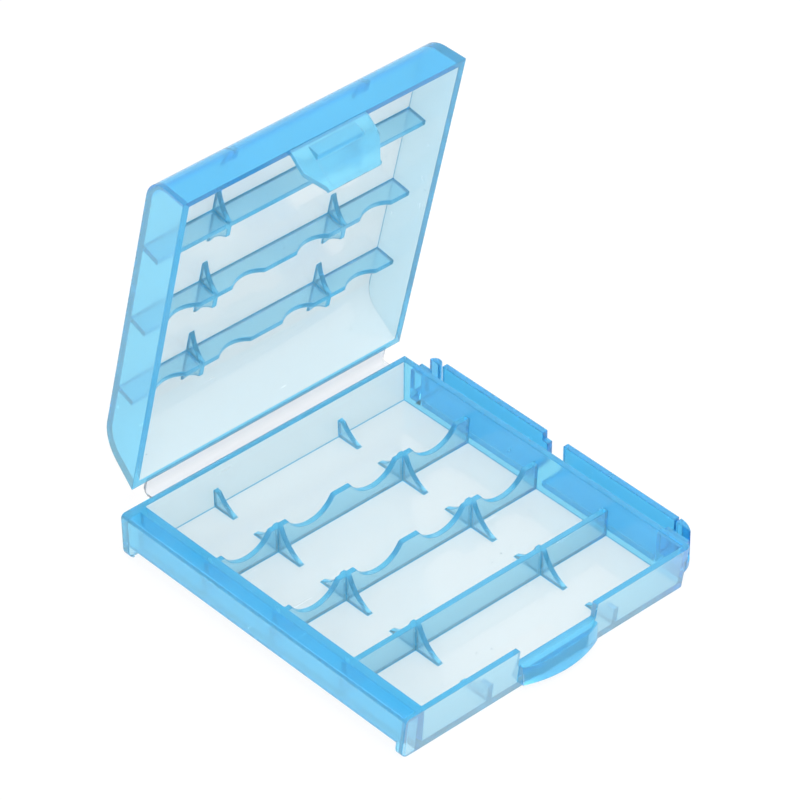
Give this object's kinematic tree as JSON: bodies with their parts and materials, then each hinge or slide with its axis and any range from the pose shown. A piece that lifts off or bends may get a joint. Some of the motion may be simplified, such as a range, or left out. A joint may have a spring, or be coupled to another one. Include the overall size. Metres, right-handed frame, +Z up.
{
  "type": "battery storage case",
  "caption": "Translucent blue one-piece battery storage case: ribbed tray and lid on a living hinge, with a latch tab and side coupling rails, stored open.",
  "frame": {"origin": "centre of the tray box's underside, in the plane that it rests on", "axes": "+X along the hinge to the rail side, +Y to the hinge, +Z up from the resting face"},
  "size_m": [0.0643, 0.0746, 0.0733],
  "materials": {
    "blue_plastic": "translucent light blue polypropylene, lightly polished",
    "hinge_film": "the same polypropylene drawn thin, nearly clear"
  },
  "bodies": {
    "tray": {"tray_floor": "blue_plastic", "tray_rear_wall": "blue_plastic", "tray_left_wall": "blue_plastic", "tray_right_wall": "blue_plastic", "tray_front_wall_left": "blue_plastic", "tray_front_wall_right": "blue_plastic", "catch_lip": "blue_plastic", "tray_rib_rear": "blue_plastic", "tray_rib_middle": "blue_plastic", "tray_rib_front": "blue_plastic", "tray_fins_left": "blue_plastic", "tray_fins_right": "blue_plastic", "channel_flange": "blue_plastic", "channel_skirt": "blue_plastic", "end_tab_rear": "blue_plastic", "end_tab_front": "blue_plastic", "rail_shelf_rear": "blue_plastic", "rail_lip_rear": "blue_plastic", "rail_shelf_front": "blue_plastic", "rail_lip_front": "blue_plastic", "rail_stop_rear": "blue_plastic", "rail_stop_front": "blue_plastic", "hinge_flange_tray": "hinge_film", "hinge_web": "hinge_film"},
    "lid": {"lid_panel": "blue_plastic", "lid_front_wall": "blue_plastic", "lid_rear_wall": "blue_plastic", "lid_left_wall": "blue_plastic", "lid_right_wall": "blue_plastic", "lid_rib_rear": "blue_plastic", "lid_rib_middle": "blue_plastic", "lid_rib_front": "blue_plastic", "lid_fins_left": "blue_plastic", "lid_fins_right": "blue_plastic", "hinge_flange_lid": "hinge_film"},
    "latch": {"latch_tab": "blue_plastic", "latch_pad": "blue_plastic"}
  },
  "joints": [
    {"name": "lid_hinge", "type": "hinge", "parent": "tray", "child": "lid", "pos_m": [0, 0.034, 0.00845], "axis": [-1, 0, 0], "range_deg": [-76.5, 103]},
    {"name": "latch_flex", "type": "hinge", "parent": "lid", "child": "latch", "pos_m": [0, 0.01818, 0.07222], "axis": [1, 0, 0], "range_deg": [-3, 6], "stiffness_Nm_per_rad": 0.15}
  ]
}
